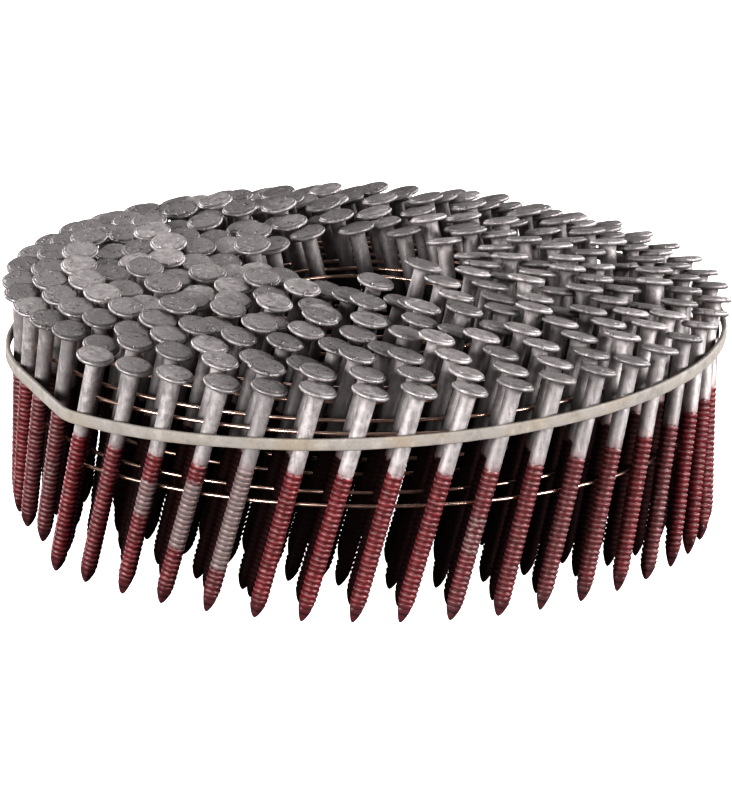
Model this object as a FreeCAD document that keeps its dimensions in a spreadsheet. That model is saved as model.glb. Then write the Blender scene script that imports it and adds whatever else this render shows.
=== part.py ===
import FreeCAD, Part
import Sketcher
import math
import os
from collections import namedtuple

"""A coil of wire-collated ring-shank nails, held together by a rubber band.

The nails stand on their points and lean along the strip. Two wires are welded to their inner side,
and the strip is wound into a flat spiral whose inner turns ride up into a low dome. Sizes are in
millimetres and degrees. The origin is on the spiral's axis, level with the outer turn's points, +Z is
up to the heads, and -Y is the front. The strip's loose outer end is at the front left.
"""

Vector = FreeCAD.Vector
UP = Vector(0, 0, 1)

# Driving dimensions: name, value, meaning. Each one can be changed by itself.
SIZES = [
    ("nail_length", 45.0, "point to top of head"),
    ("shank_diameter", 3.05, "plain shank under the head"),
    ("crest_diameter", 3.2, "over the rings"),
    ("head_diameter", 7.0, "flat round head"),
    ("head_thickness", 1.15, "flat round head"),
    ("point_length", 4.6, "pointed end"),
    ("plain_length", 16.7, "top of head to first ring"),
    ("ring_pitch", 0.985, "one ring to the next"),
    ("ring_depth", 0.2, "ring's crest to its valley"),
    ("lean_angle", 14.7, "lean of the nails along the strip"),
    ("head_spacing", 1.86, "gap between neighbouring heads in the strip"),
    ("coil_radius", 66.9, "loose end of the strip, at half the nails' height"),
    ("core_radius", 17.0, "inner end of the strip, at half the nails' height"),
    ("turn_clearance", 1.5, "wire of one turn to the nails of the next"),
    ("start_angle", -48.5, "loose end, turned from the front towards +X"),
    ("flat_turns", 0.8, "turns that stand level on their points"),
    ("dome_rise", 5.2, "lift that the inner turns come close to"),
    ("dome_turns", 2.0, "turns over which the lift grows"),
    ("head_clearance", 0.12, "least gap between heads"),
    ("lean_scatter", 1.6, "spread of the lean from nail to nail"),
    ("lift_scatter", 0.3, "spread of the nails' height in the strip"),
    ("wire_diameter", 0.7, "collating wire"),
    ("upper_wire_drop", 9.0, "top of head down to the upper wire"),
    ("lower_wire_drop", 22.4, "top of head down to the lower wire"),
    ("weld_depth", 0.08, "wire fused into the shank"),
    ("wire_stub", 1.2, "wire past the end nails"),
    ("band_thickness", 1.0, "rubber band, through its wall"),
    ("band_height", 2.4, "rubber band, up and down"),
    ("band_level", 34.0, "middle of the rubber band above the points"),
    ("band_tilt", 3.0, "rise of the rubber band towards +X"),
    ("band_travel", 8.0, "how far the rubber band slides down before it has to stretch"),
    ("band_clearance", 0.35, "rubber band to the shanks, over its whole travel"),
]

GOLDEN_SHARE = (math.sqrt(5) - 1) / 2   # step of a sequence that scatters and never repeats
LIFT_STEP = 0.1                         # fineness of the search for a nail's resting height
RIM_DIRECTIONS = 24                     # directions in which two heads are compared
ARC_SHARE = 0.45                        # share of each straight run taken by the bend at its end

Nail = namedtuple("Nail", "tip axis turns dome")


def make_sheet(doc):
    """Spreadsheet with one named number per driving dimension."""
    sheet = doc.addObject("Spreadsheet::Sheet", "sizes")
    for row, (alias, number, meaning) in enumerate(SIZES, start=1):
        sheet.set(f"A{row}", str(number))
        sheet.setAlias(f"A{row}", alias)
        sheet.set(f"B{row}", meaning)
    doc.recompute()
    return sheet


# ---------------------------------------------------------------- the nail


def origin_plane(body, role):
    """One of the body's own origin planes."""
    return next(item for item in body.Origin.OriginFeatures if item.Role == role)


def bound_outline(body, name, corners):
    """Closed straight-sided sketch on the body's XZ plane, every corner bound to the sheet.

    corners holds pairs of expressions, across and up. "0" keeps a corner on the axis itself.
    """
    sketch = body.newObject("Sketcher::SketchObject", name)
    sketch.AttachmentSupport = [(origin_plane(body, "XZ_Plane"), "")]
    sketch.MapMode = "FlatFace"
    count = len(corners)
    turn = 2 * math.pi / count
    rough = [Vector(3 + math.cos(turn * k), 3 + math.sin(turn * k), 0) for k in range(count)]
    for k in range(count):
        sketch.addGeometry(Part.LineSegment(rough[k], rough[(k + 1) % count]), False)
    for k in range(count):
        sketch.addConstraint(Sketcher.Constraint("Coincident", k, 2, (k + 1) % count, 1))
    horizontal_axis, vertical_axis = -1, -2
    for k, (across, up) in enumerate(corners):
        bindings = (("DistanceX", vertical_axis, across), ("DistanceY", horizontal_axis, up))
        for kind, axis, expression in bindings:
            if expression == "0":
                sketch.addConstraint(Sketcher.Constraint("PointOnObject", k, 1, axis))
            else:
                index = sketch.addConstraint(Sketcher.Constraint(kind, -1, 1, k, 1, 3.0))
                sketch.setExpression(f"Constraints[{index}]", expression)
    return sketch


def make_lead_nail(doc):
    """The strip's first nail, upright with its point at the origin: turned blank, then rings cut."""
    body = doc.addObject("PartDesign::Body", "lead_nail")
    body.Label = "lead_nail"
    shank = "sizes.shank_diameter / 2"
    crest = "sizes.crest_diameter / 2"
    head = "sizes.head_diameter / 2"
    first_ring = "sizes.nail_length - sizes.plain_length"
    under_head = "sizes.nail_length - sizes.head_thickness"
    profile = bound_outline(body, "nail_profile", [
        ("0", "0"),
        (crest, "sizes.point_length"),
        (crest, first_ring),
        (shank, first_ring),
        (shank, under_head),
        (head, under_head),
        (head, "sizes.nail_length"),
        ("0", "sizes.nail_length"),
    ])
    blank = body.newObject("PartDesign::Revolution", "nail_blank")
    blank.Profile = profile
    blank.ReferenceAxis = (profile, ["V_Axis"])
    blank.Angle = 360

    valley = bound_outline(body, "valley_profile", [
        (crest + " + sizes.ring_depth", "sizes.point_length"),
        (crest + " + sizes.ring_depth", "sizes.point_length + sizes.ring_pitch * 0.9"),
        (crest + " - sizes.ring_depth", "sizes.point_length + sizes.ring_pitch * 0.45"),
    ])
    doc.recompute()
    cut = body.newObject("PartDesign::Groove", "ring_valley")
    cut.Profile = valley
    cut.ReferenceAxis = (valley, ["V_Axis"])
    cut.Angle = 360
    doc.recompute()
    rings = body.newObject("PartDesign::LinearPattern", "ring_valleys")
    rings.Originals = [cut]
    rings.Direction = (profile, ["V_Axis"])
    ring_room = "sizes.nail_length - sizes.plain_length - sizes.point_length"
    rings.setExpression("Occurrences", f"floor(({ring_room}) / sizes.ring_pitch)")
    rings.setExpression("Length", f"(floor(({ring_room}) / sizes.ring_pitch) - 1) * sizes.ring_pitch")
    body.Tip = rings
    doc.recompute()
    if not rings.Shape.Volume < cut.Shape.Volume < blank.Shape.Volume:
        raise RuntimeError("the ring valleys cut nothing")
    return body, blank


# ---------------------------------------------------------------- how the nails lie


def scatter(number, spread):
    """Evenly scattered value between minus and plus half the spread."""
    return spread * ((number * GOLDEN_SHARE) % 1.0 - 0.5)


def dome_lift(sizes, turns):
    """Height gained by the strip after so many turns: level at first, then easing up to the rise."""
    risen = max(turns - sizes.flat_turns, 0) / sizes.dome_turns
    return sizes.dome_rise * (1 - math.exp(-risen))


def turn_gap(sizes):
    """Distance from one turn's nails to the next turn's nails, centre to centre."""
    return sizes.crest_diameter + sizes.wire_diameter + sizes.turn_clearance


def head_rims(sizes, tip, axis):
    """Points on the edge and further in, on the top, middle and underside of a nail's head."""
    side = axis.cross(UP).normalize()
    front = axis.cross(side)
    points = []
    for share in (1.0, 0.6):
        radius = sizes.head_diameter / 2 * share
        for k in range(RIM_DIRECTIONS):
            turn = 2 * math.pi * k / RIM_DIRECTIONS
            spoke = side * (radius * math.cos(turn)) + front * (radius * math.sin(turn))
            for depth in (0, 0.5, 1.0):
                level = sizes.nail_length - sizes.head_thickness * depth
                points.append(tip + axis * level + spoke)
    return points


def reaches_into(sizes, points, tip, axis):
    """True when one of the points is closer to the nail's head or plain shank than the clearance."""
    clearance = sizes.head_clearance
    underside = sizes.nail_length - sizes.head_thickness - clearance
    for point in points:
        away = point - tip
        level = away.dot(axis)
        if sizes.nail_length - sizes.plain_length < level < sizes.nail_length + clearance:
            across = math.sqrt(max(away.dot(away) - level * level, 0))
            width = sizes.head_diameter if level > underside else sizes.shank_diameter
            if across < width / 2 + clearance:
                return True
    return False


def heads_clear(sizes, tip, axis, neighbours):
    """True when a nail's head touches no neighbour, and no neighbour's head touches the nail."""
    reach = sizes.head_diameter + 2 * sizes.head_thickness
    own_points = None
    for other in neighbours:
        gap = (other.tip + other.axis * sizes.nail_length) - (tip + axis * sizes.nail_length)
        if gap.Length > reach:
            continue
        if own_points is None:
            own_points = head_rims(sizes, tip, axis)
        other_points = head_rims(sizes, other.tip, other.axis)
        if reaches_into(sizes, own_points, other.tip, other.axis):
            return False
        if reaches_into(sizes, other_points, tip, axis):
            return False
    return True


def lay_nails(sizes):
    """Lay the strip from its loose end inwards, one nail at a time.

    The half-height points follow a spiral. Each nail leans along the strip and stands at the dome's
    height, moved up or down only as far as its head needs to clear the heads already laid.
    """
    nails = []
    start = math.radians(sizes.start_angle)
    angle = start
    radius = sizes.coil_radius
    pitch = sizes.head_diameter + sizes.head_spacing
    while radius > sizes.core_radius:
        turns = (angle - start) / (2 * math.pi)
        outward = Vector(math.sin(angle), -math.cos(angle), 0)
        along = Vector(math.cos(angle), math.sin(angle), 0)
        lean = math.radians(sizes.lean_angle + scatter(len(nails), sizes.lean_scatter))
        axis = along * math.sin(lean) + UP * math.cos(lean)
        dome = dome_lift(sizes, turns)
        wanted = dome + max(scatter(3 * len(nails), sizes.lift_scatter), 0)
        nails_in_turn = int(2 * math.pi * (radius + turn_gap(sizes)) / pitch) + 3
        neighbours = nails[-nails_in_turn:]
        step = 0
        while True:
            shift = LIFT_STEP * ((step + 1) // 2) * (1 if step % 2 else -1)
            lift = wanted + shift
            tip = outward * radius + along * (-sizes.nail_length / 2 * math.sin(lean)) + UP * lift
            if lift >= 0 and heads_clear(sizes, tip, axis, neighbours):
                break
            step += 1
        nails.append(Nail(tip, axis, turns, dome))
        angle += pitch / radius
        radius = sizes.coil_radius - turn_gap(sizes) * (angle - start) / (2 * math.pi)
    return nails


def group_name(nail):
    """Node of a nail: the strip is grouped by half-turns, front halves and back halves."""
    half = "front" if (nail.turns * 2) % 2 < 1 else "back"
    return f"turn_{int(nail.turns) + 1:02d}_{half}_nails"


def nail_placement(nail):
    """Placement that stands an upright nail on its tip, leaning along its axis."""
    return FreeCAD.Placement(nail.tip, FreeCAD.Rotation(UP, nail.axis))


def make_nail_group(doc, name, blank_shape, nails):
    """One node of separate nails, each a placed copy of the turned blank."""
    copies = []
    for nail in nails:
        copy = blank_shape.copy()
        copy.Placement = nail_placement(nail).multiply(blank_shape.Placement)
        copies.append(copy)
    group = doc.addObject("Part::Feature", name)
    group.Label = name
    group.Shape = Part.makeCompound(copies)
    group.Placement = FreeCAD.Placement()
    return group


# ---------------------------------------------------------------- the wires


def weld_points(sizes, nails, drop):
    """Centres of the wire where it is welded to the inner side of each nail."""
    points = []
    for nail in nails:
        level = nail.dome + sizes.nail_length * math.cos(math.radians(sizes.lean_angle)) - drop
        along = (level - nail.tip.z) / nail.axis.z
        ringed = along < sizes.nail_length - sizes.plain_length
        shank_radius = (sizes.crest_diameter if ringed else sizes.shank_diameter) / 2
        centre = nail.tip + nail.axis * along
        outward = Vector(centre.x, centre.y, 0).normalize()
        points.append(centre - outward * (shank_radius + sizes.wire_diameter / 2 - sizes.weld_depth))
    return points


def bend(before, corner, after):
    """Start, apex and end of the tangent arc at a corner of the wire, and how far it cuts the corner."""
    run = min((corner - before).Length, (after - corner).Length) * ARC_SHARE
    arriving = (corner - before).normalize()
    leaving = (after - corner).normalize()
    half_turn = arriving.getAngle(leaving) / 2
    radius = run / math.tan(half_turn)
    cut = radius / math.cos(half_turn) - radius
    inward = (leaving - arriving).normalize()
    return corner - arriving * run, corner + inward * cut, corner + leaving * run, inward * cut


def wire_path(sizes, welds):
    """Straight runs joined by tangent arcs, the middle of each arc on its weld."""
    corners = []
    for before, weld, after in zip(welds, welds[1:], welds[2:]):
        corners.append(weld - bend(before, weld, after)[3])
    past_nail = sizes.shank_diameter / 2 + sizes.wire_stub
    first = welds[0] + (welds[0] - corners[0]).normalize() * past_nail
    last = welds[-1] + (welds[-1] - corners[-1]).normalize() * past_nail
    route = [first] + corners + [last]
    edges = []
    end_of_last = route[0]
    for before, corner, after in zip(route, route[1:], route[2:]):
        start, apex, end, _ = bend(before, corner, after)
        edges.append(Part.LineSegment(end_of_last, start).toShape())
        edges.append(Part.Arc(start, apex, end).toShape())
        end_of_last = end
    edges.append(Part.LineSegment(end_of_last, route[-1]).toShape())
    return Part.Wire(edges)


def make_wire(doc, name, sizes, nails, drop):
    """Round wire swept along the whole strip."""
    path = wire_path(sizes, weld_points(sizes, nails, drop))
    first_run = path.Edges[0]
    direction = first_run.tangentAt(first_run.FirstParameter)
    section = Part.Circle(first_run.firstVertex().Point, direction, sizes.wire_diameter / 2)
    solid = path.makePipe(Part.Face(Part.Wire([section.toShape()])))
    expected = math.pi / 4 * sizes.wire_diameter ** 2 * path.Length
    if abs(solid.Volume - expected) > 0.01 * expected:
        raise RuntimeError(f"{name} is not a clean sweep")
    wire = doc.addObject("Part::Feature", name)
    wire.Label = name
    wire.Shape = solid
    wire.Placement = FreeCAD.Placement()
    return wire


# ---------------------------------------------------------------- the rubber band


def convex_outline(points):
    """Corners of the tightest convex loop round points in the plane, counter-clockwise."""
    def side(points_in_order):
        kept = []
        for x, y in points_in_order:
            while len(kept) > 1:
                (ax, ay), (bx, by) = kept[-2:]
                if (bx - ax) * (y - ay) - (by - ay) * (x - ax) > 0:
                    break
                kept.pop()
            kept.append((x, y))
        return kept[:-1]
    ordered = sorted(points)
    return side(ordered) + side(ordered[::-1])


def band_touch_points(sizes, nails):
    """Plan positions of the outer nails' axes at the band's level and at the end of its travel."""
    slope = math.tan(math.radians(sizes.band_tilt))
    touches = []
    for nail in nails:
        if nail.turns > 1.1:
            break
        for travel in (0, sizes.band_travel):
            rise = sizes.band_level - travel + nail.tip.x * slope - nail.tip.z
            place = nail.tip + nail.axis * (rise / (nail.axis.z - nail.axis.x * slope))
            touches.append((place.x, place.y))
    return touches


def make_band(doc, sizes, nails):
    """Upright wall round the outer nails, cut to the band's height by a tilted slab."""
    corners = [Vector(x, y, 0) for x, y in convex_outline(band_touch_points(sizes, nails))]
    loop = Part.Face(Part.makePolygon(corners + corners[:1]))
    inside = loop.makeOffset2D(sizes.crest_diameter / 2 + sizes.band_clearance)
    outside = inside.makeOffset2D(sizes.band_thickness)
    wall = doc.addObject("Part::Feature", "band_wall")
    wall.Shape = outside.cut(inside).extrude(UP * sizes.nail_length)

    slab = doc.addObject("Part::Box", "band_slab")
    slab.setExpression("Length", "4 * sizes.coil_radius")
    slab.setExpression("Width", "4 * sizes.coil_radius")
    slab.setExpression("Height", "sizes.band_height")
    tilt = FreeCAD.Rotation(Vector(0, 1, 0), -sizes.band_tilt)
    middle = Vector(2 * sizes.coil_radius, 2 * sizes.coil_radius, sizes.band_height / 2)
    slab.Placement = FreeCAD.Placement(UP * sizes.band_level - tilt.multVec(middle), tilt)

    band = doc.addObject("Part::Common", "rubber_band")
    band.Label = "rubber_band"
    band.Base = wall
    band.Tool = slab
    return band


# ---------------------------------------------------------------- the document


def check_and_export(doc, pieces):
    """Refuse any failed object or bad shape, then write one STEP file per piece."""
    doc.recompute()
    failed = [item.Name for item in doc.Objects if "Invalid" in item.State or "Error" in item.State]
    failed += [piece.Label for piece in pieces if piece.Shape.isNull() or not piece.Shape.isValid()]
    if failed:
        raise RuntimeError(f"failed objects: {failed}")
    os.makedirs("parts", exist_ok=True)
    for piece in pieces:
        piece.Shape.exportStep(f"parts/{piece.Label}.step")


def build():
    """Make the document and every piece of the coil."""
    doc = FreeCAD.newDocument("nail_coil")
    sheet = make_sheet(doc)
    Sizes = namedtuple("Sizes", [alias for alias, _, _ in SIZES])
    sizes = Sizes(*[float(sheet.get(alias)) for alias in Sizes._fields])

    nails = lay_nails(sizes)
    lead_nail, blank = make_lead_nail(doc)
    blank_shape = blank.Shape.copy()
    lead_nail.Placement = nail_placement(nails[0])
    pieces = [lead_nail]

    groups = {}
    for nail in nails[1:]:
        groups.setdefault(group_name(nail), []).append(nail)
    for name, members in groups.items():
        pieces.append(make_nail_group(doc, name, blank_shape, members))

    pieces.append(make_wire(doc, "upper_wire", sizes, nails, sizes.upper_wire_drop))
    pieces.append(make_wire(doc, "lower_wire", sizes, nails, sizes.lower_wire_drop))
    pieces.append(make_band(doc, sizes, nails))
    check_and_export(doc, pieces)
    print(f"{len(nails)} nails, {nails[-1].turns:.2f} turns, {len(pieces)} nodes")


build()
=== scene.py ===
"""Looks of a wire-collated nail coil: ringed nails, copper wires, rubber band and a plain studio."""
import math

import bpy
import numpy as np
from mathutils import Matrix, Vector


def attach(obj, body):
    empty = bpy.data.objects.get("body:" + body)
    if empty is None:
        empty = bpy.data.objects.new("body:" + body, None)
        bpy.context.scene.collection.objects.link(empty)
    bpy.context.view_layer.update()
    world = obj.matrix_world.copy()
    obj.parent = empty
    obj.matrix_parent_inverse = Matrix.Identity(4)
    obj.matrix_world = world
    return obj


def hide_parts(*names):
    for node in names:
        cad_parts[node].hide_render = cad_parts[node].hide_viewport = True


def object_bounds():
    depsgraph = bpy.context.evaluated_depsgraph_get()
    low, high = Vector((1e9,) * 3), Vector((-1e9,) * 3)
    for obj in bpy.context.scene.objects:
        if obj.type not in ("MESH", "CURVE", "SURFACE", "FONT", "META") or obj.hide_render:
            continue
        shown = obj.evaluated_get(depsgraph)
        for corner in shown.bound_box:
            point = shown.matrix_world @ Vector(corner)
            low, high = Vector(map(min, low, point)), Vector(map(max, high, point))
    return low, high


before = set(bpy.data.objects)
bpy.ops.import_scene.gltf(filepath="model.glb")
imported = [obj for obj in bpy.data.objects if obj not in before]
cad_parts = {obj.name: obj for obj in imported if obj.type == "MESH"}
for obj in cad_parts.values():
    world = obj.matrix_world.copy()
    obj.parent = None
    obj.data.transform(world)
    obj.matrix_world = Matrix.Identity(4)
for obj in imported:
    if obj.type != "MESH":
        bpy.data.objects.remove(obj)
CAD_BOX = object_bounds()

bl_info = {
    "name": "Nail Coil Looks",
    "version": (1, 0, 0),
    "blender": (4, 5, 0),
    "location": "3D View > Sidebar > Nail Coil",
    "description": "Builds the nails, wires and rubber band of a nail coil around its packed frame",
    "category": "Object",
}

MM = 0.001
NAIL_NODES = sorted(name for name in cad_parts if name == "lead_nail" or name.endswith("_nails"))
WIRE_NODES = ["upper_wire", "lower_wire"]
BAND_NODE = "rubber_band"
BAND_STEPS = 540
BAND_SMOOTHING = 5
BAND_CORNERS = 24
BAND_SQUARENESS = 0.45
BAND_HALF_THICKNESS = 0.5 * MM
FIRST_SEED = 40
FAR_ALONG = 1000  # strip number of nails that the list below never reaches
HEAD_LOW, HEAD_HIGH = 14.9, 15.7  # millimetres above the first ring where shank turns to head
# SHADE_LOW and SHADE_HIGH place the painted shade of the coil's inside on the inner nails' shanks.
SHADE_LOW, SHADE_HIGH = 4.0, 11.0  # the same, for the darkening of the inner nails' shanks
AIM = Vector((1.71 * MM, 0.0, 20.7 * MM))
LIGHT_AIM = (0, 0, 0.02)

# Softboxes: name, place, width, height and power.
SOFTBOXES = (
    ("left_softbox", (-0.75, -0.80, 0.22), 1.05, 0.40, 16.0),
    ("right_softbox", (0.98, -0.50, 0.22), 0.80, 0.40, 15.5),
    ("rear_left_softbox", (-0.85, 0.62, 0.32), 0.70, 0.45, 7.5),
    ("rear_right_softbox", (0.85, 0.62, 0.32), 0.70, 0.45, 7.5),
    ("top_softbox", (0.0, 0.45, 0.80), 0.8, 0.5, 1.8),
)

# Lacquer rubbed off nails near the loose end: place in the strip, then from and to as shares of
# the ringed length upwards, then how much is gone.
RUBBED_NAILS = ((2, 0.46, 0.78, 0.75), (3, 0.26, 0.83, 0.95), (4, 0.14, 1.0, 0.95), (9, 0.3, 0.62, 0.45))


# ---------------------------------------------------------------- settings


class NailSettings(bpy.types.PropertyGroup):
    """Sizes of the nails' finer shape, all inside the frame's plain nails."""
    head_radius: bpy.props.FloatProperty(
        name="Head radius", description="Radius of the flat head", default=3.5 * MM, unit="LENGTH")
    head_thickness: bpy.props.FloatProperty(
        name="Head thickness", description="Rim to underside of the head", default=1.15 * MM, unit="LENGTH")
    shank_radius: bpy.props.FloatProperty(
        name="Shank radius", description="Plain shank under the head", default=1.455 * MM, unit="LENGTH")
    crest_radius: bpy.props.FloatProperty(
        name="Ring crest radius", description="Radius over the rings", default=1.6 * MM, unit="LENGTH")
    ring_depth: bpy.props.FloatProperty(
        name="Ring depth", description="Crest to valley of a ring", default=0.30 * MM, unit="LENGTH")
    ring_pitch: bpy.props.FloatProperty(
        name="Ring pitch", description="One ring to the next", default=0.985 * MM, unit="LENGTH")
    plain_length: bpy.props.FloatProperty(
        name="Plain length", description="Top of head to the first ring", default=16.7 * MM, unit="LENGTH")
    point_length: bpy.props.FloatProperty(
        name="Point length", description="Length of the pointed end", default=4.6 * MM, unit="LENGTH")
    zinc: bpy.props.FloatVectorProperty(
        name="Zinc", description="Dull galvanised coat", subtype="COLOR", default=(0.455, 0.42, 0.418))
    lacquer: bpy.props.FloatVectorProperty(
        name="Lacquer", description="Wine-red lacquer on the ringed part", subtype="COLOR",
        default=(0.144, 0.0165, 0.0205))


class WireSettings(bpy.types.PropertyGroup):
    """Finish of the collating wires."""
    copper: bpy.props.FloatVectorProperty(
        name="Copper", description="Bright copper coat", subtype="COLOR", default=(1.0, 0.72, 0.60))


class BandSettings(bpy.types.PropertyGroup):
    """Shape and colour of the rubber band."""
    waviness: bpy.props.FloatProperty(
        name="Waviness", description="How unevenly the band is cut", default=0.09 * MM, unit="LENGTH")
    rubber: bpy.props.FloatVectorProperty(
        name="Rubber", description="Off-white natural rubber", subtype="COLOR", default=(0.295, 0.268, 0.247))


class StudioSettings(bpy.types.PropertyGroup):
    """Camera, floor and lights."""
    distance: bpy.props.FloatProperty(
        name="Camera distance", description="From the coil's middle", default=1.4, unit="LENGTH")
    elevation: bpy.props.FloatProperty(
        name="Camera elevation", description="Above the floor", default=math.radians(17.0), unit="ROTATION")
    roll: bpy.props.FloatProperty(
        name="Camera roll", description="About the viewing direction", default=math.radians(1.2),
        unit="ROTATION")
    focal_length: bpy.props.FloatProperty(
        name="Focal length", description="Of the camera, in millimetres", default=338.5)
    floor: bpy.props.FloatVectorProperty(
        name="Floor", description="Pale floor", subtype="COLOR", default=(0.92, 0.92, 0.92))


# ---------------------------------------------------------------- meshes


def new_mesh_object(name, points, faces_by_size, smooth=True):
    """Mesh object from arrays: points (n, 3), and one (m, k) array of corner numbers per face size k."""
    mesh = bpy.data.meshes.new(name)
    loops = np.concatenate([faces.ravel() for faces in faces_by_size])
    sizes = np.concatenate([np.full(len(faces), faces.shape[1]) for faces in faces_by_size])
    starts = np.concatenate([[0], np.cumsum(sizes)[:-1]])
    mesh.vertices.add(len(points))
    mesh.vertices.foreach_set("co", points.astype(np.float32).ravel())
    mesh.loops.add(len(loops))
    mesh.loops.foreach_set("vertex_index", loops.astype(np.int32))
    mesh.polygons.add(len(sizes))
    mesh.polygons.foreach_set("loop_start", starts.astype(np.int32))
    mesh.polygons.foreach_set("loop_total", sizes.astype(np.int32))
    mesh.polygons.foreach_set("use_smooth", np.full(len(sizes), smooth))
    mesh.update(calc_edges=True)
    mesh.validate()
    item = bpy.data.objects.new(name, mesh)
    bpy.context.scene.collection.objects.link(item)
    return item


def store(item, name, values):
    """Keep one number per point on the mesh under a name that a material can read."""
    attribute = item.data.attributes.new(name, "FLOAT", "POINT")
    attribute.data.foreach_set("value", values.astype(np.float32).ravel())


def node_points(name):
    """The points and triangles of a frame node as arrays, with doubled points merged."""
    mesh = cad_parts[name].data
    points = np.empty(len(mesh.vertices) * 3)
    mesh.vertices.foreach_get("co", points)
    points = points.reshape(-1, 3)
    mesh.calc_loop_triangles()
    corners = np.empty(len(mesh.loop_triangles) * 3, dtype=np.int64)
    mesh.loop_triangles.foreach_get("vertices", corners)
    merged, place = np.unique(np.round(points / (0.002 * MM)).astype(np.int64), axis=0, return_inverse=True)
    return merged * (0.002 * MM), place.ravel()[corners].reshape(-1, 3)


def separate_solids(points, triangles):
    """Label of the solid that each point belongs to: labels spread over triangles until they settle."""
    labels = np.arange(len(points))
    while True:
        lowest = labels[triangles].min(axis=1)
        spread = labels.copy()
        np.minimum.at(spread, triangles.ravel(), np.repeat(lowest, 3))
        spread = spread[spread]
        if np.array_equal(spread, labels):
            return labels
        labels = spread


def read_nails(name):
    """Tip and head centre of every nail in a node, in the order of the node's points.

    A nail's tip is its lowest point. Its head's centre is the mean of the points farthest from the
    tip along the nail, which are the rim's. strip_order puts the nails in the strip's order.
    """
    points, triangles = node_points(name)
    labels = separate_solids(points, triangles)
    tips = []
    tops = []
    for label in np.unique(labels):
        solid = points[labels == label]
        tip = solid[solid[:, 2].argmin()]
        highest = solid[solid[:, 2] > solid[:, 2].max() - 2 * MM].mean(axis=0)
        axis = (highest - tip) / np.linalg.norm(highest - tip)
        along = (solid - tip) @ axis
        rim = solid[along > along.max() - 0.5 * MM].mean(axis=0)
        axis = (rim - tip) / np.linalg.norm(rim - tip)
        along = (solid - tip) @ axis
        rim = solid[along > along.max() - 0.1 * MM].mean(axis=0)
        tips.append(tip)
        tops.append(rim)
    return np.array(tips), np.array(tops)


def strip_order(tips, tops, first_turn):
    """Order of nails by how far their middles are turned past the strip's start or half-way point."""
    middles = (tips + tops) / 2
    turned = np.arctan2(middles[:, 0], -middles[:, 1]) - first_turn + 0.05
    return np.argsort(np.mod(turned, 2 * math.pi))


# ---------------------------------------------------------------- the nails


def nail_profile(length, settings, points_per_ring):
    """Heights, radii and crest shares of a nail's outline from its tip to the middle of its head.

    Each ring is a barb: it widens slowly from its valley to a crest and steps back in sharply towards
    the head. The neck flares into the head, whose thick round rim stands a little below its flat top,
    with a fine groove between them. The point's faces are cut later, through the lowest rings.
    """
    first_ring = length - settings.plain_length
    last_ring = 0.4 * settings.point_length
    tip_height = np.array([0.0, 0.015, 0.06, 0.14, 0.25]) * settings.point_length
    tip_radius = np.full(len(tip_height), settings.crest_radius)
    room = first_ring - last_ring
    rings = int(round(room / settings.ring_pitch))
    phases, swells = {4: ([0.0, 0.20, 0.58, 0.86], [0.0, 0.42, 0.90, 1.0]),
                      2: ([0.0, 0.72], [0.0, 1.0])}[points_per_ring]
    number = np.arange(rings)[:, None]
    phase = number + np.array(phases)[None, :] * (1 + 0.06 * np.sin(2.4 * number))
    ring_height = (last_ring + room * (phase + 0.05 * np.sin(1.7 * number)) / rings).ravel()
    ring_height[0] = last_ring
    swell = (np.array(swells)[None, :] * (0.93 + 0.07 * np.sin(3.1 * number))).ravel()
    ring_radius = settings.crest_radius - settings.ring_depth * (1 - swell)
    neck = [(first_ring, settings.crest_radius - settings.ring_depth),
            (first_ring + 0.22 * MM, settings.shank_radius - 0.02 * MM),
            (first_ring + 0.6 * MM, settings.shank_radius),
            (first_ring + 4.5 * MM, settings.shank_radius),
            (first_ring + 9.0 * MM, settings.shank_radius),
            (length - 2.3 * MM, settings.shank_radius),
            (length - 1.40 * MM, settings.shank_radius + 0.10 * MM),
            (length - 1.22 * MM, settings.shank_radius + 0.34 * MM)]
    head = [(length - 1.15 * MM, 0.68 * settings.head_radius),
            (length - 1.12 * MM, 0.87 * settings.head_radius),
            (length - 0.97 * MM, 0.96 * settings.head_radius),
            (length - 0.72 * MM, settings.head_radius),
            (length - 0.44 * MM, 0.985 * settings.head_radius),
            (length - 0.26 * MM, 0.93 * settings.head_radius),
            (length - 0.31 * MM, 0.895 * settings.head_radius),
            (length - 0.09 * MM, 0.875 * settings.head_radius),
            (length - 0.02 * MM, 0.82 * settings.head_radius),
            (length, 0.70 * settings.head_radius),
            (length - 0.01 * MM, 0.4 * settings.head_radius),
            (length - 0.02 * MM, 0.0)]
    upper = np.array(neck + head)
    height = np.concatenate([tip_height, ring_height, upper[:, 0]])
    radius = np.concatenate([tip_radius, ring_radius, upper[:, 1]])
    groove = np.where(np.isclose(upper[:, 1], 0.895 * settings.head_radius), 0.0, 0.6)
    crest = np.concatenate([np.full(len(tip_height), 0.6), swell, groove])
    return height, radius, crest


def cut_point(height, radius, local, settings):
    """Radii with the diamond point cut: the lesser of the outline and four curved faces.

    A face stands crest * (height / point length) ** 0.58 from the axis, so the point is full and its end
    blunt. At an angle from the axis a square reaches that over the larger of |cos| and |sin|. High
    powers join the faces and the outline with slightly round edges.
    """
    share = np.maximum(height / settings.point_length, 0)
    face = settings.crest_radius * share ** 0.58 * (1 + 3 * np.clip(share - 0.9, 0, None))
    corner = (np.abs(np.cos(local)) ** 8 + np.abs(np.sin(local)) ** 8) ** (1 / 8)
    outline = radius[None, :, None]
    cut = np.maximum(face, 1e-9)[None, :, None] / corner[:, None, :]
    return outline / (1 + (outline / cut) ** 12) ** (1 / 12)


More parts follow.
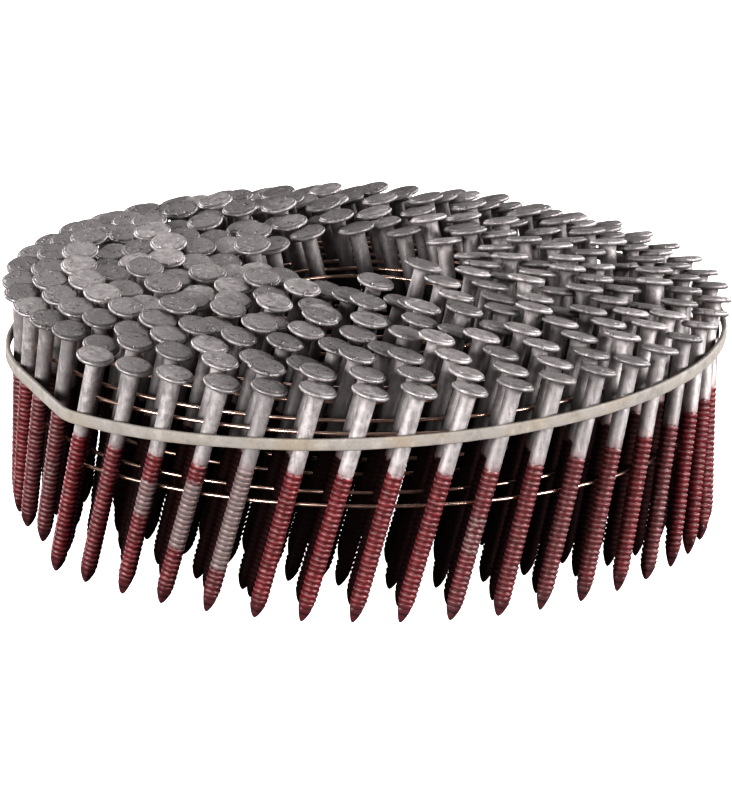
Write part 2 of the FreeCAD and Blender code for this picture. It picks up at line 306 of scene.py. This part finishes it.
def turned_faces(rows, segments, copies):
    """Triangles at both poles and quads between, for turned shapes of rows by segments points each.

    The first and last rows are single points, so a shape holds (rows - 2) * segments + 2 points.
    """
    ring = np.arange(segments)
    ring_next = (ring + 1) % segments
    start = 1 + np.arange(rows - 3)[:, None] * segments
    quads = np.stack([start + ring, start + ring_next, start + segments + ring_next,
                      start + segments + ring], axis=-1).reshape(-1, 4)
    last = 1 + (rows - 3) * segments
    top = last + segments
    bottom_fan = np.stack([np.zeros(segments, dtype=int), 1 + ring_next, 1 + ring], axis=-1)
    top_fan = np.stack([np.full(segments, top), last + ring, last + ring_next], axis=-1)
    triangles = np.concatenate([bottom_fan, top_fan])
    size = top + 1
    shift = (np.arange(copies) * size)[:, None, None]
    return (triangles + shift).reshape(-1, 3), (quads + shift).reshape(-1, 4), size


def build_nails(name, tips, tops, settings, segments, points_per_ring, seed, first_number, inner):
    """All nails of one node as one mesh.

    Each nail is its outline turned about its own axis: point = tip + axis * height + spoke * radius.
    The head is up to a few percent out of round and dips to one side. The random draws are, in order,
    the turn, the head's shape, its dip and the shade of each nail.
    """
    draw = np.random.default_rng(seed)
    count = len(tips)
    turn = draw.uniform(0, 2 * math.pi, count)
    oval = draw.uniform(0.0, 0.022, count)
    dip = draw.uniform(0.0, 0.024, count)
    shade = draw.uniform(0, 1, count)
    length = float(np.linalg.norm(tops - tips, axis=1).mean())
    height, radius, crest = nail_profile(length, settings, points_per_ring)
    rows = len(height)

    axis = tops - tips
    axis /= np.linalg.norm(axis, axis=1)[:, None]
    side = np.cross(axis, [0.0, 0.0, 1.0])
    side /= np.linalg.norm(side, axis=1)[:, None]
    front = np.cross(axis, side)
    angle = np.arange(segments) * 2 * math.pi / segments
    spoke = (side[:, None, :] * np.cos(angle)[None, :, None]
             + front[:, None, :] * np.sin(angle)[None, :, None])

    local = angle[None, :] + turn[:, None]
    in_head = (height > length - settings.head_thickness * 1.1).astype(float)
    out_of_round = 1 - in_head[None, :, None] * (oval[:, None] * (1 + np.cos(2 * local)))[:, None, :]
    reach = cut_point(height, radius, local, settings) * out_of_round
    drop = in_head[None, :, None] * (dip[:, None] * (1 + np.cos(local + 1.0)))[:, None, :] * reach
    level = height[None, :, None] - drop

    grid = (tips[:, None, None, :] + axis[:, None, None, :] * level[..., None]
            + spoke[:, None, :, :] * reach[..., None])
    between = grid[:, 1:-1].reshape(count, -1, 3)
    points = np.concatenate([grid[:, :1, 0], between, grid[:, -1:, 0]], axis=1).reshape(-1, 3)
    triangles, quads, size = turned_faces(rows, segments, count)

    along = np.concatenate([height[:1], np.repeat(height[1:-1], segments), height[-1:]])
    crests = np.concatenate([crest[:1], np.repeat(crest[1:-1], segments), crest[-1:]])
    ringed = length - settings.plain_length - settings.point_length
    share = (along - settings.point_length) / ringed
    numbers = first_number + np.arange(count)
    worn = (shade[:, None] ** 1.5 * 0.42) * np.clip(1 - np.abs(share[None, :] - 0.45) / 0.55, 0, 1)
    for number, low, high, amount in RUBBED_NAILS:
        window = np.clip((share - low) / 0.06, 0, 1) * np.clip((high - share) / 0.05 + 1, 0, 1)
        worn[numbers == number] = amount * window

    item = new_mesh_object(name, points, [triangles, quads])
    store(item, "height", np.tile(along / MM, count))
    store(item, "crest", np.tile(crests, count))
    store(item, "inner", np.full(count * size, inner))
    store(item, "shade", np.repeat(shade, size))
    store(item, "worn", worn)
    return item


# ---------------------------------------------------------------- the rubber band


def band_outline(points, steps):
    """Outer wall of the band by angle: the farthest reach of the convex loop in each direction.

    The loop's support in a direction is the farthest point along it, and the loop's radius at an
    angle is the least of support / cos(difference) over all directions within a quarter turn.
    """
    angle = np.arange(steps) * 2 * math.pi / steps
    directions = np.stack([np.cos(angle), np.sin(angle)], axis=1)
    support = (points[:, :2] @ directions.T).max(axis=0)
    difference = angle[:, None] - angle[None, :]
    lean = np.cos(difference)
    radius = np.where(lean > 0.3, support[None, :] / np.maximum(lean, 0.3), np.inf).min(axis=1)
    return angle, radius


def build_band(settings):
    """Flat rubber band: a rounded rectangle carried round the coil in the band's tilted plane.

    The section's height, thickness and twist wander with a few slow sine waves round the loop.
    """
    points, _ = node_points(BAND_NODE)
    angle, outer = band_outline(points, BAND_STEPS)
    low, high = points[:, 2].min(), points[:, 2].max()
    columns = np.stack([np.ones(len(points)), points[:, 0], points[:, 1]], axis=1)
    plane = np.linalg.lstsq(columns, points[:, 2], rcond=None)[0]
    residual = points[:, 2] - columns @ plane
    half_height = (residual.max() - residual.min()) / 2

    turn = np.arange(BAND_CORNERS) * 2 * math.pi / BAND_CORNERS
    across = np.sign(np.cos(turn)) * np.abs(np.cos(turn)) ** BAND_SQUARENESS
    up = np.sign(np.sin(turn)) * np.abs(np.sin(turn)) ** BAND_SQUARENESS
    wave = (np.sin(3 * angle + 0.4) + 0.6 * np.sin(7 * angle + 2.1) + 0.5 * np.sin(13 * angle + 1.0)) / 2.1
    ripple = (np.sin(29 * angle + 0.7) + np.sin(47 * angle + 2.9)) / 2
    height = half_height - settings.waviness * (1 + 0.7 * wave + 0.3 * ripple)
    twist = 0.10 * np.sin(2 * angle + 0.9) + 0.05 * np.sin(5 * angle)
    window = np.hanning(2 * BAND_SMOOTHING + 3)[1:-1]
    wrapped = np.concatenate([outer[-BAND_SMOOTHING:], outer, outer[:BAND_SMOOTHING]])
    centre = np.convolve(wrapped, window / window.sum(), mode="valid") - BAND_HALF_THICKNESS
    shift_out = across[None, :] * BAND_HALF_THICKNESS * 0.92
    shift_up = up[None, :] * height[:, None]
    turned_out = shift_out * np.cos(twist)[:, None] - shift_up * np.sin(twist)[:, None] * 0.35
    reach = centre[:, None] + turned_out
    x = reach * np.cos(angle)[:, None]
    y = reach * np.sin(angle)[:, None]
    lift = settings.waviness * 0.5 * wave[:, None]
    z = plane[0] + plane[1] * x + plane[2] * y + shift_up + lift
    grid = np.stack([x, y, np.clip(z, low, high)], axis=-1)

    row = np.arange(BAND_STEPS)[:, None]
    column = np.arange(BAND_CORNERS)[None, :]
    row_next = (row + 1) % BAND_STEPS
    column_next = (column + 1) % BAND_CORNERS
    faces = np.stack([row * BAND_CORNERS + column, row_next * BAND_CORNERS + column,
                      row_next * BAND_CORNERS + column_next, row * BAND_CORNERS + column_next], axis=-1)
    return new_mesh_object("band_rubber", grid.reshape(-1, 3), [faces.reshape(-1, 4)])


# ---------------------------------------------------------------- materials


class Shader:
    """Short way to add nodes to a new material and to join them."""

    def __init__(self, name):
        self.material = bpy.data.materials.new(name)
        self.material.use_nodes = True
        self.tree = self.material.node_tree
        self.surface = self.tree.nodes["Principled BSDF"]

    def node(self, kind, **values):
        """New node with the given properties."""
        node = self.tree.nodes.new(kind)
        for key, value in values.items():
            setattr(node, key, value)
        return node

    def join(self, source, target):
        """Join an output socket to an input socket."""
        self.tree.links.new(source, target)

    def attribute(self, name):
        """Number stored on the mesh."""
        return self.node("ShaderNodeAttribute", attribute_name=name).outputs["Fac"]

    def noise(self, scale, detail=4.0, roughness=0.55, stretch=None):
        """Noise in Object coordinates, scale in cycles per metre, optionally stretched."""
        coordinates = self.node("ShaderNodeTexCoord").outputs["Object"]
        if stretch:
            mapping = self.node("ShaderNodeMapping")
            mapping.inputs["Scale"].default_value = stretch
            self.join(coordinates, mapping.inputs["Vector"])
            coordinates = mapping.outputs["Vector"]
        texture = self.node("ShaderNodeTexNoise")
        texture.inputs["Scale"].default_value = scale
        texture.inputs["Detail"].default_value = detail
        texture.inputs["Roughness"].default_value = roughness
        self.join(coordinates, texture.inputs["Vector"])
        return texture.outputs["Fac"]

    def remap(self, value, low, high, to_low=0.0, to_high=1.0):
        """Smooth step of a value from one range to another."""
        node = self.node("ShaderNodeMapRange", interpolation_type="SMOOTHSTEP")
        limits = {"From Min": low, "From Max": high, "To Min": to_low, "To Max": to_high}
        for socket, number in limits.items():
            node.inputs[socket].default_value = number
        self.join(value, node.inputs["Value"])
        return node.outputs["Result"]

    def math(self, operation, first, second):
        """Arithmetic on sockets or numbers."""
        node = self.node("ShaderNodeMath", operation=operation)
        for socket, value in zip(node.inputs, (first, second)):
            if isinstance(value, (int, float)):
                socket.default_value = value
            else:
                self.join(value, socket)
        return node.outputs["Value"]

    def blend(self, share, first, second):
        """Colour between two colours or sockets."""
        node = self.node("ShaderNodeMix", data_type="RGBA")
        self.join(share, node.inputs["Factor"])
        for socket, value in zip((node.inputs["A"], node.inputs["B"]), (first, second)):
            target = [item for item in node.inputs if item.name == socket.name and item.type == "RGBA"][0]
            if isinstance(value, tuple):
                target.default_value = value + (1.0,)
            else:
                self.join(value, target)
        return [item for item in node.outputs if item.type == "RGBA"][0]

    def bump(self, height, distance, strength=1.0):
        """Surface relief from a height in units of distance."""
        node = self.node("ShaderNodeBump")
        node.inputs["Distance"].default_value = distance
        node.inputs["Strength"].default_value = strength
        self.join(height, node.inputs["Height"])
        self.join(node.outputs["Normal"], self.surface.inputs["Normal"])


def scaled(colour, factor):
    """Colour made lighter or darker."""
    return tuple(min(1.0, part * factor) for part in colour)


def nail_material(settings, ring_top):
    """Dull mottled zinc that turns to wine-red lacquer at the first ring, with worn crests.

    Heads carry small drips of zinc, shanks small dark pits and soft streaks, and the bare zinc bright
    specks that are partly painted glints. Heads are painted darker, partly at random per nail and
    partly as painted shade. The lacquer is painted lighter on the crests, partly as thin coat and
    partly as painted highlight, and the valleys and the head's groove carry painted shade. Nails
    inside the coil are painted darker below their heads and their lacquer nearly black: painted
    shade of the coil's inside.
    """
    shader = Shader("zinc_and_lacquer")
    height = shader.attribute("height")
    shade = shader.attribute("shade")
    worn = shader.attribute("worn")
    crest = shader.attribute("crest")
    inner = shader.attribute("inner")
    blotches = shader.noise(620.0, 5.0, 0.6)
    grain = shader.noise(2300.0, 4.0, 0.70)
    streaks = shader.noise(1500.0, 3.0, 0.55, (1.0, 1.0, 0.16))
    drips = shader.noise(950.0, 1.5, 0.5)
    ring_level = ring_top / MM
    on_head = shader.remap(height, ring_level + HEAD_LOW, ring_level + HEAD_HIGH)

    zinc = tuple(settings.zinc)
    bare = shader.blend(shader.remap(blotches, 0.36, 0.66), scaled(zinc, 0.78), scaled(zinc, 1.20))
    bare = shader.blend(shader.remap(shade, 0.0, 1.0, 0.0, 0.75), bare, scaled(zinc, 0.56))
    # Heads painted darker: partly random tone per nail, partly painted shade on the head tops.
    head_tone_and_painted_shade = shader.remap(shade, 0.0, 1.0, 0.15, 0.85)
    bare = shader.blend(shader.math("MULTIPLY", head_tone_and_painted_shade, on_head), bare, scaled(zinc, 0.50))
    bare = shader.blend(shader.remap(streaks, 0.54, 0.70, 0.0, 0.60), bare, scaled(zinc, 0.48))
    bare = shader.blend(shader.remap(streaks, 0.42, 0.30, 0.0, 0.40), bare, scaled(zinc, 1.55))
    bare = shader.blend(shader.remap(grain, 0.60, 0.70, 0.0, 0.75), bare, scaled(zinc, 0.20))
    # Bright specks: partly zinc texture, partly painted glints.
    bare = shader.blend(shader.remap(grain, 0.38, 0.28, 0.0, 0.22), bare, scaled(zinc, 1.5))
    # Painted shade: the head's groove and any bare ring valleys darkened towards zinc x 0.25.
    bare = shader.blend(shader.remap(crest, 0.5, 0.0, 0.0, 0.50), bare, scaled(zinc, 0.25))
    # Painted shade of the coil's inside: inner nails' shanks darkened towards zinc x 0.26, more the farther
    # below the head.
    painted_shade_below_head = shader.remap(height, ring_level + SHADE_HIGH, ring_level + SHADE_LOW, 0.0, 0.80)
    bare = shader.blend(shader.math("MULTIPLY", inner, painted_shade_below_head), bare, scaled(zinc, 0.26))

    lacquer = tuple(settings.lacquer)
    red = shader.blend(shader.remap(blotches, 0.34, 0.68), scaled(lacquer, 0.70), scaled(lacquer, 1.35))
    red = shader.blend(shader.remap(shade, 0.0, 1.0, 0.0, 0.55), red, (0.098, 0.038, 0.040))
    point_share = shader.remap(height, 5.0, 2.0, 0.0, 0.7)
    red = shader.blend(point_share, red, (0.088, 0.036, 0.040))
    ragged = shader.remap(shader.noise(1500.0, 4.0, 0.7), 0.3, 0.7, -0.30, 0.36)
    rubbed = shader.math("ADD", shader.math("ADD", worn, ragged), shader.remap(crest, 0.0, 1.0, -0.10, 0.10))
    gone = shader.remap(rubbed, 0.34, 0.86, 0.0, 0.9)
    red = shader.blend(gone, red, (0.205, 0.168, 0.162))
    above_point = shader.remap(height, 2.6, 5.2)
    patchy = shader.remap(shader.noise(1100.0, 3.0, 0.6), 0.38, 0.62, 0.10, 1.0)
    # Crests painted lighter pink: partly thin, worn lacquer, partly painted highlight along the rings.
    thin_coat_and_painted_highlight = shader.math("MULTIPLY", shader.remap(crest, 0.60, 1.0, 0.0, 0.40), patchy)
    red = shader.blend(shader.math("MULTIPLY", thin_coat_and_painted_highlight, above_point), red, (0.38, 0.24, 0.235))
    # Painted shade: the ring valleys darkened nearly to black.
    red = shader.blend(shader.remap(crest, 0.45, 0.0, 0.0, 0.82), red, (0.018, 0.006, 0.007))
    # Painted shade of the coil's inside: inner nails' lacquer darkened nearly to black.
    red = shader.blend(shader.math("MULTIPLY", inner, 0.92), red, (0.011, 0.0038, 0.0038))

    edge_wander = shader.remap(shader.noise(900.0, 3.0, 0.6), 0.25, 0.75, -0.35, 0.35)
    edge = shader.math("ADD", height, edge_wander)
    tinted = shader.remap(edge, ring_level + 2.6, ring_level - 0.4, 0.0, 0.36)
    bare = shader.blend(tinted, bare, (0.30, 0.13, 0.13))
    coated = shader.remap(edge, ring_level + 0.32, ring_level - 0.12)
    colour = shader.blend(coated, bare, red)
    shader.join(colour, shader.surface.inputs["Base Color"])

    lumps = shader.math("MULTIPLY", shader.remap(drips, 0.60, 0.67), on_head)
    glint = shader.math("MULTIPLY", lumps, -0.20)
    matt = shader.remap(on_head, 0.0, 1.0, 0.09, 0.0)
    from_head = shader.math("ADD", glint, matt)
    zinc_roughness = shader.math("ADD", shader.remap(blotches, 0.3, 0.7, 0.42, 0.58), from_head)
    inner_gloss = shader.math("MULTIPLY", inner, 0.22)
    red_roughness = shader.math("ADD", shader.remap(grain, 0.3, 0.7, 0.36, 0.56), inner_gloss)
    rough = shader.node("ShaderNodeMix", data_type="FLOAT")
    shader.join(coated, rough.inputs[0])
    shader.join(zinc_roughness, rough.inputs[2])
    shader.join(red_roughness, rough.inputs[3])
    shader.join(rough.outputs[0], shader.surface.inputs["Roughness"])
    zinc_metal = shader.remap(on_head, 0.0, 1.0, 0.46, 0.62)
    metal = shader.math("MULTIPLY", shader.remap(coated, 0.0, 1.0, 1.0, 0.12), zinc_metal)
    shader.join(metal, shader.surface.inputs["Metallic"])
    shine = shader.math("MULTIPLY", inner, coated)
    shader.join(shader.remap(shine, 0.0, 1.0, 0.5, 0.12), shader.surface.inputs["Specular IOR Level"])
    relief = shader.math("ADD", shader.math("MULTIPLY", blotches, 0.7), shader.math("MULTIPLY", grain, 0.3))
    bare_relief = shader.math("MULTIPLY", relief, shader.remap(coated, 0.0, 1.0, 1.0, 0.35))
    raised = shader.math("MULTIPLY", lumps, 1.6)
    shader.bump(shader.math("ADD", bare_relief, raised), 0.12 * MM, 0.7)
    return shader.material


def copper_material(settings):
    """Bright drawn copper coat with duller, browner stretches."""
    shader = Shader("copper_coat")
    stretches = shader.noise(140.0, 3.0, 0.5)
    copper = tuple(settings.copper)
    colour = shader.blend(shader.remap(stretches, 0.35, 0.7), copper, scaled(copper, 0.55))
    shader.join(colour, shader.surface.inputs["Base Color"])
    shader.join(shader.remap(stretches, 0.3, 0.7, 0.24, 0.36), shader.surface.inputs["Roughness"])
    shader.surface.inputs["Metallic"].default_value = 1.0
    shader.bump(shader.noise(2400.0, 2.0, 0.5), 0.02 * MM, 0.4)
    return shader.material


def rubber_material(settings):
    """Matt grey-white rubber, faintly yellowed in patches, with dust, smears and fine pits."""
    shader = Shader("natural_rubber_band")
    patches = shader.noise(95.0, 4.0, 0.6)
    smears = shader.noise(420.0, 4.0, 0.65)
    specks = shader.noise(2600.0, 3.0, 0.6)
    rubber = tuple(settings.rubber)
    yellowed = (rubber[0] * 1.0, rubber[1] * 0.93, rubber[2] * 0.80)
    colour = shader.blend(shader.remap(patches, 0.46, 0.70), rubber, yellowed)
    colour = shader.blend(shader.remap(smears, 0.50, 0.68, 0.0, 0.55), colour, scaled(rubber, 0.66))
    colour = shader.blend(shader.remap(smears, 0.46, 0.32, 0.0, 0.45), colour, scaled(rubber, 1.45))
    colour = shader.blend(shader.remap(specks, 0.60, 0.74, 0.0, 0.5), colour, scaled(rubber, 0.5))
    shader.join(colour, shader.surface.inputs["Base Color"])
    shader.join(shader.remap(specks, 0.3, 0.7, 0.60, 0.80), shader.surface.inputs["Roughness"])
    relief = shader.math("ADD", shader.math("MULTIPLY", smears, 0.7), shader.math("MULTIPLY", specks, 0.3))
    shader.bump(relief, 0.16 * MM, 0.6)
    return shader.material


# ---------------------------------------------------------------- operators


class NAILCOIL_OT_nails(bpy.types.Operator):
    """Build every nail over its plain frame nail"""
    bl_idname = "nailcoil.nails"
    bl_label = "Nails"

    def execute(self, context):
        settings = context.scene.nailcoil_nails
        lead_tips, lead_tops = read_nails("lead_nail")
        middle = (lead_tips[0] + lead_tops[0]) / 2
        start = math.atan2(middle[0], -middle[1])
        length = float(np.linalg.norm(lead_tops[0] - lead_tips[0]))
        material = nail_material(settings, length - settings.plain_length)
        for seed, name in enumerate(NAIL_NODES):
            tips, tops = read_nails(name)
            outer = name == "lead_nail" or name.startswith("turn_01")
            second = name.startswith("turn_02")
            if len(tips) > 1:
                order = strip_order(tips, tops, start + (math.pi if "_back_" in name else 0.0))
                tips, tops = tips[order], tops[order]
            first_number = {"lead_nail": 0, "turn_01_front_nails": 1}.get(name, FAR_ALONG)
            segments = 24 if outer else 20
            points_per_ring = 4 if outer or second else 2
            inner = 0.0 if outer else 1.0
            piece = build_nails("ringed_" + name, tips, tops, settings, segments, points_per_ring,
                                FIRST_SEED + seed, first_number, inner)
            piece.data.materials.append(material)
            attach(piece, "coil")
            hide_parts(name)
        return {"FINISHED"}


class NAILCOIL_OT_wires(bpy.types.Operator):
    """Give the collating wires their copper coat"""
    bl_idname = "nailcoil.wires"
    bl_label = "Wires"

    def execute(self, context):
        material = copper_material(context.scene.nailcoil_wires)
        for name in WIRE_NODES:
            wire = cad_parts[name]
            for place in wire.material_slots:
                place.material = material
        return {"FINISHED"}


class NAILCOIL_OT_band(bpy.types.Operator):
    """Build the rubber band"""
    bl_idname = "nailcoil.band"
    bl_label = "Rubber band"

    def execute(self, context):
        settings = context.scene.nailcoil_band
        band = build_band(settings)
        band.data.materials.append(rubber_material(settings))
        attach(band, "band")
        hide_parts(BAND_NODE)
        return {"FINISHED"}


def add_softbox(name, place, aim, width, height, power):
    """Rectangular area light at a place, turned to face another."""
    light = bpy.data.lights.new(name, "AREA")
    light.shape = "RECTANGLE"
    light.size = width
    light.size_y = height
    light.energy = power
    item = bpy.data.objects.new(name, light)
    item.matrix_world = (Matrix.Translation(place)
                         @ (Vector(aim) - Vector(place)).to_track_quat("-Z", "Y").to_matrix().to_4x4())
    bpy.context.scene.collection.objects.link(item)
    return item


class NAILCOIL_OT_studio(bpy.types.Operator):
    """Put the coil on a pale floor with soft lights and a long-lens camera"""
    bl_idname = "nailcoil.studio"
    bl_label = "Studio"

    def execute(self, context):
        scene = context.scene
        settings = scene.nailcoil_studio
        lowest = Vector(CAD_BOX[0])

        side = 3.0
        corner = np.array([[-side, -side, 0], [side, -side, 0], [side, side, 0], [-side, side, 0]])
        corner[:, 2] = lowest.z
        floor = new_mesh_object("floor", corner, [np.array([[0, 1, 2, 3]])], smooth=False)
        paint = Shader("pale_floor")
        paint.surface.inputs["Base Color"].default_value = tuple(settings.floor) + (1.0,)
        paint.surface.inputs["Roughness"].default_value = 0.9
        paint.surface.inputs["Emission Color"].default_value = (1.0, 1.0, 1.0, 1.0)
        paint.surface.inputs["Emission Strength"].default_value = 0.95
        floor.data.materials.append(paint.material)
        floor.visible_diffuse = False
        floor.visible_glossy = False

        camera = bpy.data.objects.new("camera", bpy.data.cameras.new("camera"))
        camera.data.lens = settings.focal_length
        camera.data.sensor_width = 36.0
        camera.data.clip_start = 0.05
        camera.data.clip_end = 20.0
        rise, turn = settings.elevation, settings.roll
        forward = Vector((0, math.cos(rise), -math.sin(rise)))
        upward = Vector((0, math.sin(rise), math.cos(rise)))
        right = Vector((1, 0, 0)) * math.cos(turn) + upward * math.sin(turn)
        upward = -Vector((1, 0, 0)) * math.sin(turn) + upward * math.cos(turn)
        pose = Matrix((right, upward, -forward)).transposed().to_4x4()
        pose.translation = AIM - forward * settings.distance
        camera.matrix_world = pose
        scene.collection.objects.link(camera)
        scene.camera = camera

        for name, place, width, height, power in SOFTBOXES:
            add_softbox(name, place, LIGHT_AIM, width, height, power)

        world = bpy.data.worlds.new("studio_air")
        world.use_nodes = True
        background = world.node_tree.nodes["Background"]
        background.inputs["Color"].default_value = (1.0, 1.0, 1.0, 1.0)
        background.inputs["Strength"].default_value = 0.05
        scene.world = world
        scene.view_settings.view_transform = "Standard"
        scene.view_settings.look = "High Contrast"
        return {"FINISHED"}


class NAILCOIL_PT_panel(bpy.types.Panel):
    """Sizes, colours and buttons of the nail coil"""
    bl_idname = "NAILCOIL_PT_panel"
    bl_label = "Nail Coil"
    bl_space_type = "VIEW_3D"
    bl_region_type = "UI"
    bl_category = "Nail Coil"

    def draw(self, context):
        for group, operator in GROUPS:
            box = self.layout.box()
            settings = getattr(context.scene, group)
            for name in settings.__annotations__:
                box.prop(settings, name)
            box.operator(operator)


GROUPS = (
    ("nailcoil_nails", "nailcoil.nails"),
    ("nailcoil_wires", "nailcoil.wires"),
    ("nailcoil_band", "nailcoil.band"),
    ("nailcoil_studio", "nailcoil.studio"),
)
SETTINGS = (
    ("nailcoil_nails", NailSettings),
    ("nailcoil_wires", WireSettings),
    ("nailcoil_band", BandSettings),
    ("nailcoil_studio", StudioSettings),
)
OPERATORS = (NAILCOIL_OT_nails, NAILCOIL_OT_wires, NAILCOIL_OT_band, NAILCOIL_OT_studio, NAILCOIL_PT_panel)


def register():
    for name, settings in SETTINGS:
        bpy.utils.register_class(settings)
        setattr(bpy.types.Scene, name, bpy.props.PointerProperty(type=settings))
    for item in OPERATORS:
        bpy.utils.register_class(item)


def unregister():
    for item in reversed(OPERATORS):
        bpy.utils.unregister_class(item)
    for name, settings in reversed(SETTINGS):
        delattr(bpy.types.Scene, name)
        bpy.utils.unregister_class(settings)


def main():
    """Build everything in order."""
    register()
    bpy.ops.nailcoil.studio()
    bpy.ops.nailcoil.nails()
    bpy.ops.nailcoil.wires()
    bpy.ops.nailcoil.band()


if __name__ == "__main__":
    main()
